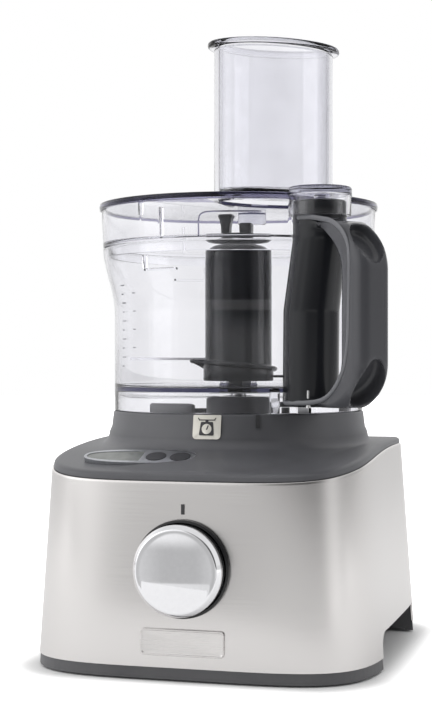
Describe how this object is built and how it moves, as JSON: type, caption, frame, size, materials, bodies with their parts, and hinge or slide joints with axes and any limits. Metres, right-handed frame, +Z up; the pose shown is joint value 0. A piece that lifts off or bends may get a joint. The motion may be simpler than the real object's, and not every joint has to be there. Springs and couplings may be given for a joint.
{
  "type": "food processor",
  "caption": "Compact food processor: brushed steel motor base with speed knob and scale display, clear twist-lock bowl with blade unit, clear lid with oval feed tube and hollow pusher.",
  "frame": {"origin": "on the table, on the common axis of the spindle, the pedestal and the bowl", "axes": "+Z up along the bowl axis, -Y towards the front with the knob, +X to the right seen from the front"},
  "size_m": [0.2155, 0.2448, 0.3647],
  "materials": {
    "steel": "vertical-lit brushed stainless wrap",
    "dark_plastic": "satin moulded",
    "pan_plastic": "satin moulded",
    "rubber": "matte",
    "sensor_metal": "machined",
    "knob_chrome": "satin chrome plating",
    "trim_black": "gloss",
    "switch_plastic": "matte",
    "badge_metal": "brushed, blank",
    "mark_ink": "printed",
    "label_silver": "satin silver film",
    "bezel_silver": "satin silver",
    "lcd_window": "polished",
    "circuit_green": "solder resist",
    "stator_steel": "laminated",
    "cradle_metal": "zinc plated",
    "bronze": "sintered",
    "carbon": "matte carbon",
    "belt_rubber": "matte",
    "shaft_steel": "ground",
    "fan_plastic": "moulded",
    "blade_steel": "ground edge",
    "hub_plastic": "semi-gloss",
    "button_dark": "semi-gloss",
    "clear_plastic": "clear polished",
    "handle_plastic": "glossy",
    "grip_plastic": "satin",
    "interlock_plastic": "moulded",
    "spring_steel": "wire",
    "inlet_black": "matte",
    "terminal_ivory": "moulded"
  },
  "bodies": {
    "base": {"steel_wrap": "steel", "top_housing": "dark_plastic", "base_pan": "pan_plastic", "rubber_feet": "rubber", "load_cells": "sensor_metal", "knob_trim": "trim_black", "selector_switch": "switch_plastic", "badge_plate": "badge_metal", "index_mark": "mark_ink", "scale_label": "label_silver", "lock_mark": "mark_ink", "display_bezel": "bezel_silver", "display_window": "lcd_window", "display_module": "circuit_green", "control_board": "circuit_green", "motor_stator": "stator_steel", "motor_cradle": "cradle_metal", "motor_bushes": "bronze", "carbon_brushes": "carbon", "drive_belt": "belt_rubber", "spindle_bushes": "bronze", "shaft_seal": "rubber", "interlock_switch": "switch_plastic", "cord_inlet": "inlet_black", "terminal_block": "terminal_ivory", "base_screws": "shaft_steel"},
    "rotor": {"motor_rotor": "stator_steel", "commutator": "bronze", "cooling_fan": "fan_plastic", "motor_pulley": "cradle_metal"},
    "spindle": {"drive_shaft": "shaft_steel", "spindle_pulley": "switch_plastic", "drive_dog": "hub_plastic", "blade_hub": "hub_plastic", "blade_collar": "hub_plastic", "upper_blade": "blade_steel", "lower_blade": "blade_steel"},
    "knob": {"control_knob": "knob_chrome", "knob_shaft": "shaft_steel"},
    "power_key": {"power_button": "button_dark"},
    "tare_key": {"tare_button": "button_dark"},
    "plunger": {"interlock_plunger": "interlock_plastic"},
    "bowl_unit": {"bowl": "clear_plastic", "handle": "handle_plastic", "grip_insert": "grip_plastic", "handle_screws": "shaft_steel", "rod_spring": "spring_steel"},
    "rod": {"interlock_rod": "interlock_plastic"},
    "lid_unit": {"lid": "clear_plastic"},
    "pusher_unit": {"pusher": "clear_plastic"}
  },
  "joints": [
    {"name": "spindle_spin", "type": "hinge", "parent": "base", "child": "spindle", "pos_m": [0, 0, 0.1], "axis": [0, 0, 1], "continuous": true},
    {"name": "rotor_spin", "type": "hinge", "parent": "base", "child": "rotor", "pos_m": [-0.044, 0.04, 0.06], "axis": [0, 0, 1], "continuous": true},
    {"name": "knob_turn", "type": "hinge", "parent": "base", "child": "knob", "pos_m": [0, -0.12, 0.062], "axis": [0, -1, 0], "range_deg": [-90, 40]},
    {"name": "power_press", "type": "slide", "parent": "base", "child": "power_key", "axis": [0, 0.3256, -0.9455], "range_m": [0, 0.001], "stiffness_N_per_m": 400},
    {"name": "tare_press", "type": "slide", "parent": "base", "child": "tare_key", "axis": [0, 0.3256, -0.9455], "range_m": [0, 0.001], "stiffness_N_per_m": 400},
    {"name": "plunger_press", "type": "slide", "parent": "base", "child": "plunger", "axis": [0, 0, -1], "range_m": [0, 0.003], "stiffness_N_per_m": 200},
    {"name": "bowl_twist", "type": "hinge", "parent": "base", "child": "bowl_unit", "pos_m": [0, 0, 0.15], "axis": [0, 0, 1], "range_deg": [0, 30]},
    {"name": "rod_press", "type": "slide", "parent": "bowl_unit", "child": "rod", "axis": [0, 0, -1], "range_m": [0, 0.003], "stiffness_N_per_m": 200, "deforming": ["rod_spring"]},
    {"name": "lid_lift", "type": "slide", "parent": "bowl_unit", "child": "lid_unit", "axis": [0, 0, 1], "range_m": [0, 0.06]},
    {"name": "pusher_slide", "type": "slide", "parent": "lid_unit", "child": "pusher_unit", "axis": [0, 0, 1], "range_m": [0, 0.092]}
  ],
  "couplings": [
    {"joint": "rotor_spin", "follows": "spindle_spin", "ratio": 4},
    {"joint": "plunger_press", "follows": "rod_press", "ratio": 1}
  ]
}
